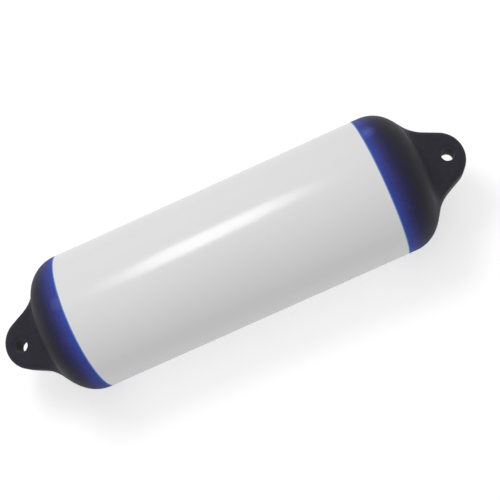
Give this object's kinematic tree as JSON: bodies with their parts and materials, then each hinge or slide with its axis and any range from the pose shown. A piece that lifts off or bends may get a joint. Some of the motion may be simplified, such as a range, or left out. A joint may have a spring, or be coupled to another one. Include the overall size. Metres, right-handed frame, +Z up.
{
  "type": "pneumatic fender",
  "caption": "Long round air-filled boat fender: white barrel, dark blue rounded ends, and a flattened rope eye moulded on each end.",
  "frame": {"origin": "middle of the fender's length, on the floor under its axis, as it lies on its side", "axes": "+X along the fender toward the end with the air valve, +Z up through the rope eyes, +Y across"},
  "size_m": [0.7658, 0.2196, 0.2191],
  "materials": {
    "vinyl_skin": "gloss",
    "valve_plastic": "satin",
    "seal_rubber": "matt",
    "screw_plastic": "satin"
  },
  "bodies": {
    "root": {"fender_body": "vinyl_skin", "valve_body": "valve_plastic", "valve_seal_ring": "seal_rubber", "valve_screw": "screw_plastic"}
  },
  "joints": []
}
